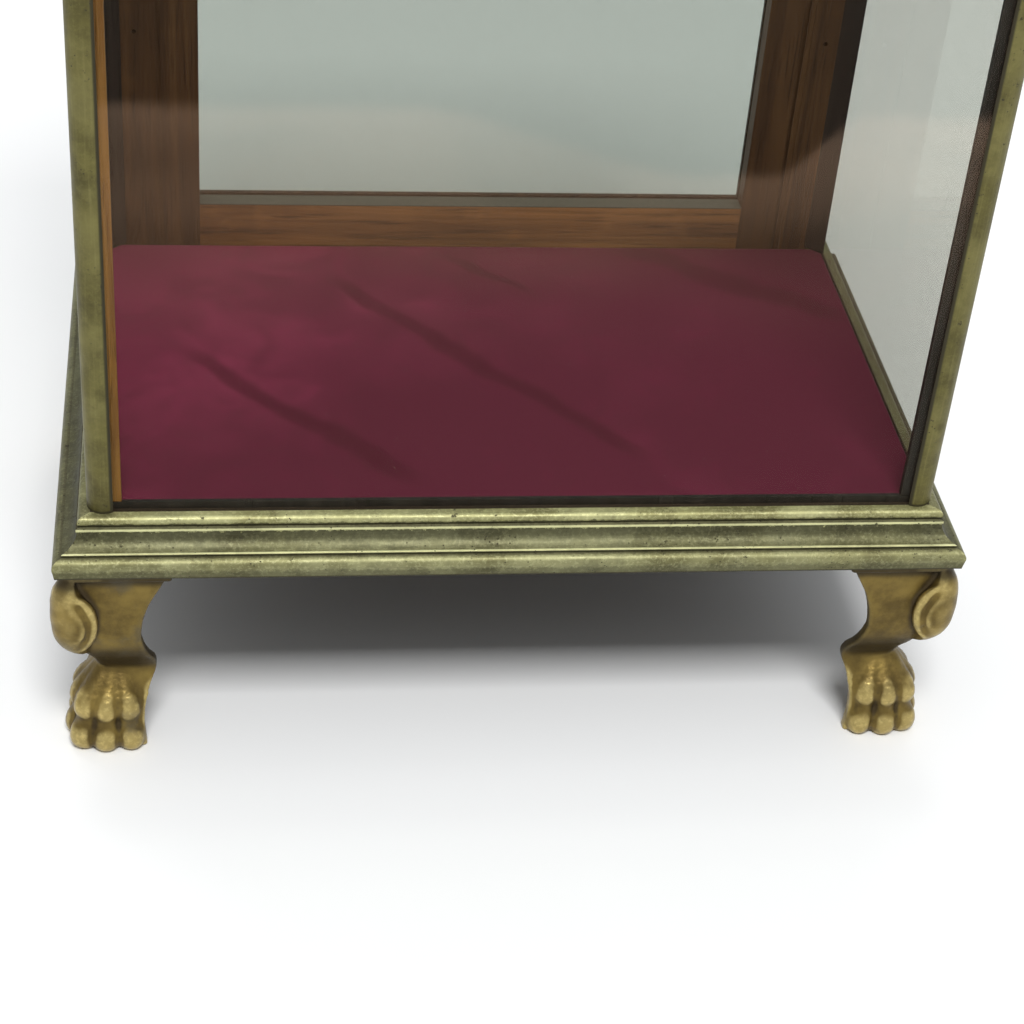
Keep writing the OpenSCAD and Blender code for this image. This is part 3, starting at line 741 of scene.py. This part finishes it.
def gilt_casting():
    """Old gilding on a casting: bright where it is rubbed, with painted highlights there, dark
    in the hollows, and painted shade under its top, under the hock and where its skin is
    seen at a slant."""
    f = Finish("gilt_casting")
    worn = f.node("Attribute", {"attribute_name": "worn"}, output="Fac")
    patch = f.fade(f.noise(60, 6, 0.62), 0.3, 0.7)
    speck = f.fade(f.noise(420, 4, 0.6), 0.42, 0.7)
    colour = f.mix(patch, GILT_DULL, GILT)
    colour = f.mix(f.fade(worn, 0.44, 0.12) * 0.85, colour, GILT_HOLLOW)
    # Rubbed bright where proud: wear, and a painted highlight on the knuckles.
    rubbed = f.fade(worn, 0.56, 0.82)
    colour = f.mix(rubbed * (0.5 + 0.3 * speck), colour, GILT_RUBBED_HIGHLIGHT)
    height = f.along("z")
    # Painted shade: under the moulding, under the hock, and at the outlines where the skin turns
    # away from the eye.
    under = f.fade(height, (FOOT_TOP - 11) * MM, (FOOT_TOP - 5) * MM)
    below, above = (f.fade(height, low * MM, high * MM) for low, high in HOCK)
    rim = f.node("LayerWeight", {}, {"Blend": 0.5}, output="Facing") ** 2.0
    shadow = under * 0.95 + below * above * (0.4 + 0.5 * patch) + rim * 0.6
    colour = f.mix(f.fade(shadow, 0, 1) * 0.85, colour, GILT_SHADE)
    grey = f.fade(f.noise(45, 5, 0.6), 0.56, 0.72)
    colour = f.mix(grey * 0.5, colour, GILT_GREYED)
    grain = f.noise(900, 4, 0.6)
    return f.surface(
        Base_Color=colour,
        Metallic=0.78,
        Roughness=0.44 - 0.16 * rubbed + 0.12 * grey,
        Normal=f.bump(grain + 0.6 * speck, 0.00015, 0.5),
    )


def set_feet():
    """The same casting under each corner, mirrored from side to side and end to end."""
    points, faces, worn = finished_foot()
    finish = gilt_casting()
    for corner, (side, end) in CORNERS.items():
        node = f"foot_{corner}"
        low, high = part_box(node)
        placed = np.empty_like(points)
        placed[:, 0] = side * (WIDTH / 2 - points[:, 0])
        placed[:, 1] = end * (DEPTH / 2 - points[:, 1])
        placed[:, 2] = points[:, 2]
        placed = np.clip(placed, np.array(low), np.array(high))
        mirrored = side * end < 0
        mesh = bpy.data.meshes.new(f"lion_paw_{corner}")
        mesh.from_pydata(placed.tolist(), [], [f[::-1] if mirrored else f for f in faces])
        wear = mesh.attributes.new("worn", "FLOAT", "POINT")
        wear.data.foreach_set("value", worn.astype(np.float32))
        mesh.shade_smooth()
        paw = put_in(f"lion_paw_{corner}", mesh)
        dress(paw, finish)
        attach(paw, "case")
        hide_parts(node)


set_feet()

# ---------------------------------------------------------------- velvet

CLOTH = 0.8 * MM  # thickness
CLOTH_ROLL = 1.4 * MM  # radius over the board's edges
CLOTH_RIPPLE = 0.35 * MM
CLOTH_STEPS = (170, 100)  # faces along x and y
PILE = [(0.36, (0.135, 0.014, 0.04)), (0.5, (0.172, 0.019, 0.052)), (0.68, (0.275, 0.032, 0.085))]
STREAK_SHADE, LINT = (0.085, 0.007, 0.02), (0.5, 0.4, 0.4)
SHADE_STREAKS = (  # from, to, half width in metres: painted streaks of shade across the cloth
    ((-0.160, 0.006), (-0.048, -0.112), 0.0075),
    ((-0.085, 0.080), (0.070, -0.092), 0.0078),
    ((0.078, 0.116), (0.206, 0.040), 0.011),
    ((-0.020, 0.104), (0.030, 0.062), 0.005),
)


def streaks_of_shade(f):
    """How deep in a painted streak of shade the cloth is, from 0 to 1."""
    wander = f.noise(16, 3, 0.5)
    x, y = f.along("x"), f.along("y")
    total = 0.0
    for (x0, y0), (x1, y1), width in SHADE_STREAKS:
        length = math.hypot(x1 - x0, y1 - y0)
        ux, uy = (x1 - x0) / length, (y1 - y0) / length
        along = (x - x0) * ux + (y - y0) * uy
        aside = (y - y0) * ux - (x - x0) * uy + 0.03 * (wander - 0.5)
        ends = f.fade(along, -0.01, 0.02) * f.fade(along, length + 0.01, length - 0.02)
        total = total + f.line(aside, width) * ends
    return total


def velvet():
    """Burgundy velvet with its pile brushed this way and that, a painted sheen towards the
    back left, and painted streaks of shade.
    """
    f = Finish("velvet")
    nap = f.noise(30, 5, 0.6, distortion=1.0)
    cloud = f.noise(8, 4, 0.55)
    tuft = f.noise(900, 2, 0.6)
    # Painted sheen: the pile is painted lighter towards the back left.
    turned = f.fade(f.along("y") - f.along("x"), -0.05, 0.32)
    shade = nap * 0.4 + cloud * 0.55 + tuft * 0.05 + 0.36 * turned - 0.13
    colour = f.mix(streaks_of_shade(f) * 0.68, f.ramp(shade, PILE), STREAK_SHADE)
    colour = f.mix(f.fade(f.cells(70), 0.035, 0.02) * 0.6, colour, LINT)
    return f.surface(
        Base_Color=colour,
        Roughness=0.9 - 0.1 * nap,
        Sheen_Weight=0.1,
        Sheen_Roughness=0.45,
        Sheen_Tint=(0.8, 0.3, 0.4, 1),
        Specular_IOR_Level=0.2,
        Normal=f.bump(tuft + nap, 0.0002, 0.05),
    )


def over_edge(t, a, b, drop):
    """From t in -1 to 1 over the cloth: the place along one axis, and how far down."""
    roll = CLOTH_ROLL
    half = (b - a) / 2
    reach = half - roll
    arc = roll * math.pi / 2
    total = reach + arc + drop - roll
    s = abs(t) * total
    if s <= reach:
        place, down = s, 0.0
    elif s <= reach + arc:
        turn = (s - reach) / roll
        place, down = reach + roll * math.sin(turn), roll * (1 - math.cos(turn))
    else:
        place, down = half, roll + (s - reach - arc)
    return (a + b) / 2 + math.copysign(place, t), down


def crowded(n):
    """Steps from -1 to 1 that crowd towards the ends, where the cloth turns down."""
    return [math.sin(math.pi / 2 * (2 * k / n - 1)) for k in range(n + 1)]


def ripple(x, y):
    """How far the cloth lies above or below its board's plane, by place."""
    broad = noise.noise(Vector((x * 9, y * 14, 3.1)))
    fine = noise.noise(Vector((x * 31, y * 40, 7.7)))
    return CLOTH_RIPPLE * (broad + 0.5 * fine - 1)


def lay_velvet():
    """The velvet stretched over its board, rolled over the edges and turned down to the deck."""
    low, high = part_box("velvet_cover")
    columns, rows = CLOTH_STEPS
    drop = high.z - low.z
    mesh = bmesh.new()
    grid = []
    for v in crowded(rows):
        y, down_y = over_edge(v, low.y, high.y, drop)
        line = []
        for u in crowded(columns):
            x, down_x = over_edge(u, low.x, high.x, drop)
            down = min(max(down_x, down_y), drop)
            lift = ripple(x, y) if down < CLOTH_ROLL else 0.0
            line.append(mesh.verts.new((x, y, high.z - down + lift * (1 - down / drop))))
        grid.append(line)
    for a, b in zip(grid, grid[1:]):
        for k in range(columns):
            mesh.faces.new((a[k], a[k + 1], b[k + 1], b[k]))
    data = bpy.data.meshes.new("velvet_lining")
    mesh.to_mesh(data)
    mesh.free()
    data.shade_smooth()
    cloth = put_in("velvet_lining", data)
    dress(cloth, velvet())
    body = cloth.modifiers.new("body", "SOLIDIFY")
    body.thickness, body.offset = CLOTH, -1
    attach(cloth, "case")
    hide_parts("velvet_cover")


lay_velvet()

# ---------------------------------------------------------------- floor and sky

FLOOR_HALF = 8.0
FLOOR_DROP = 0.1 * MM  # below the soles
FLOOR_WHITE = (0.945, 0.95, 0.95)
SKY = [(0.35, (0.03, 0.03, 0.031)), (0.72, (0.6, 0.615, 0.63)), (1, (0.97, 0.985, 1.0))]
BACKGROUND = (0.8, 0.81, 0.82)


def pale_floor():
    f = Finish("pale_floor")
    return f.surface(Base_Color=FLOOR_WHITE, Roughness=0.85, Specular_IOR_Level=0.1)


def lay_floor():
    mesh = bpy.data.meshes.new("floor")
    corners = [(FLOOR_HALF * x, FLOOR_HALF * y, 0) for x, y in ((-1, -1), (1, -1), (1, 1), (-1, 1))]
    mesh.from_pydata(corners, [], [(0, 1, 2, 3)])
    floor = put_in("floor", mesh)
    floor.location.z = -FLOOR_DROP
    dress(floor, pale_floor())


def soft_sky():
    """Light from overhead that fades towards the horizon, as in a room. The camera, brass
    and glass see a plain pale background instead."""
    world = bpy.data.worlds.new("soft_sky")
    bpy.context.scene.world = world
    sky = Finish("soft_sky", world)
    colour = sky.ramp(sky.along("z"), SKY)
    light = sky.node("Background", {}, {"Color": colour, "Strength": 0.88})
    seen = sky.node("Background", {}, {"Color": BACKGROUND, "Strength": 1.0})
    rays = ("Is Camera Ray", "Is Glossy Ray", "Is Transmission Ray")
    straight = sum(sky.node("LightPath", output=ray) for ray in rays)
    sky.done(sky.node("MixShader", {}, {0: straight, 1: light, 2: seen}))


lay_floor()
soft_sky()

bpy.context.scene.view_settings.view_transform = "Standard"
